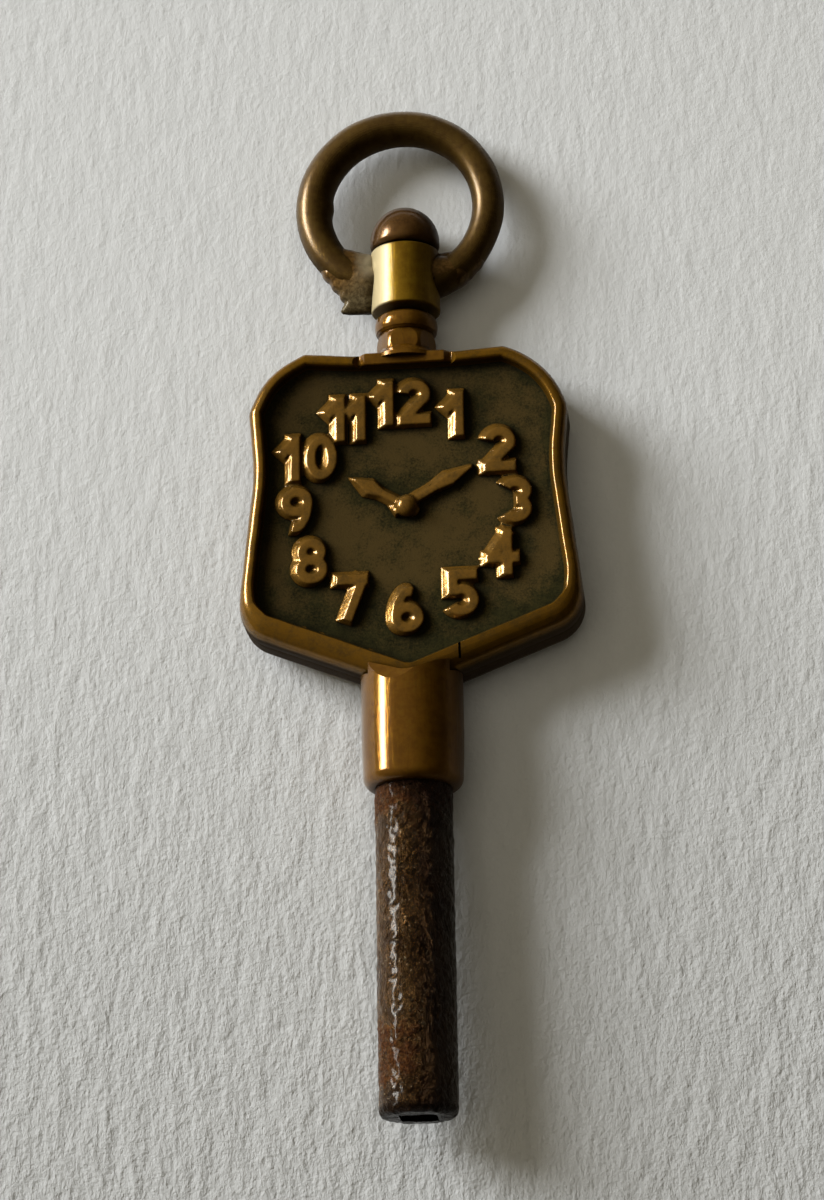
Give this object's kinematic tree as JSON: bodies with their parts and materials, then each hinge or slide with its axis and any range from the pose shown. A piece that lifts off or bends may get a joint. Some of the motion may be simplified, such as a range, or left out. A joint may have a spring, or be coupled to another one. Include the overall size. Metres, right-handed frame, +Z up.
{
  "type": "watch winding key",
  "caption": "Brass fob key for winding a pocket watch: square-socket steel pipe, barrel, rimmed shield with a dial in relief, faceted neck and a wire bow that swivels on a domed pin.",
  "frame": {"origin": "on the table under the middle of the key's length, below its axis", "axes": "+Y along the key's axis from the mouth of the pipe to the bow, +Z up through the dial side, +X to the right"},
  "size_m": [0.0144, 0.0442, 0.0042],
  "materials": {
    "pipe_steel": "rusted and handled steel",
    "barrel_brass": "worn, browned",
    "shell_brass": "olive patina, polished rim and relief",
    "neck_brass": "worn, browned",
    "pin_brass": "browned",
    "collar_brass": "rubbed bright",
    "ring_brass": "browned",
    "braze_metal": "rough, grey-green"
  },
  "bodies": {
    "key": {"winding_pipe": "pipe_steel", "pipe_barrel": "barrel_brass", "front_shell": "shell_brass", "back_shell": "shell_brass", "neck": "neck_brass", "swivel_pin": "pin_brass"},
    "bow": {"bow_collar": "collar_brass", "bow_ring": "ring_brass", "braze_left": "braze_metal", "braze_right": "braze_metal"}
  },
  "joints": [
    {"name": "bow_swivel", "type": "hinge", "parent": "key", "child": "bow", "pos_m": [0, 0.01395, 0.00212], "axis": [0, 1, 0], "continuous": true}
  ]
}
